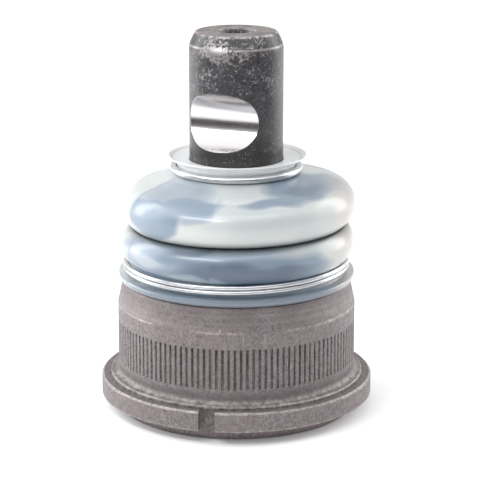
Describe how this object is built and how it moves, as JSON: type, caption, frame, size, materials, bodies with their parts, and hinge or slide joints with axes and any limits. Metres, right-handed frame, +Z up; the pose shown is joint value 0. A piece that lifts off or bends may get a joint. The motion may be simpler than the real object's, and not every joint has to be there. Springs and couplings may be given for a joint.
{
  "type": "suspension ball joint",
  "caption": "Press-in suspension ball joint with a flanged steel housing, serrated press land, two-fold dust boot and a stud with a pinch-bolt groove.",
  "frame": {"origin": "centre of the housing's base, on the plane it stands on", "axes": "+Z up along the stud at rest; -Y towards the locating notch in the flange; +X completes the right-handed frame"},
  "size_m": [0.0529, 0.0528, 0.0736],
  "materials": {
    "phosphated_steel": "matte",
    "black_steel": "satin",
    "spring_wire": "satin",
    "pressed_steel": "satin",
    "boot_polymer": "gloss",
    "bearing_plastic": "satin",
    "bush_plastic": "satin",
    "seal_rubber": "matte"
  },
  "bodies": {
    "housing": {"housing": "phosphated_steel", "closing_plate": "pressed_steel", "closing_seal_ring": "seal_rubber", "preload_spring": "spring_wire", "lower_bearing_shell": "bearing_plastic", "upper_bearing_shell": "bearing_plastic", "base_clamp_ring": "spring_wire"},
    "boot": {"dust_boot": "boot_polymer"},
    "neck": {"neck_clamp_ring": "spring_wire", "boot_support_ring": "bush_plastic"},
    "stud": {"ball_stud": "black_steel"}
  },
  "joints": [
    {"name": "swing_x", "type": "hinge", "parent": "housing", "child": "boot", "pos_m": [0, 0, 0.0213], "axis": [1, 0, 0], "range_deg": [-14, 14], "deforming": ["dust_boot"]},
    {"name": "swing_y", "type": "hinge", "parent": "boot", "child": "neck", "pos_m": [0, 0, 0.0213], "axis": [0, 1, 0], "range_deg": [-14, 14], "deforming": ["dust_boot"]},
    {"name": "stud_turn", "type": "hinge", "parent": "neck", "child": "stud", "pos_m": [0, 0, 0.0213], "axis": [0, 0, 1], "continuous": true}
  ]
}
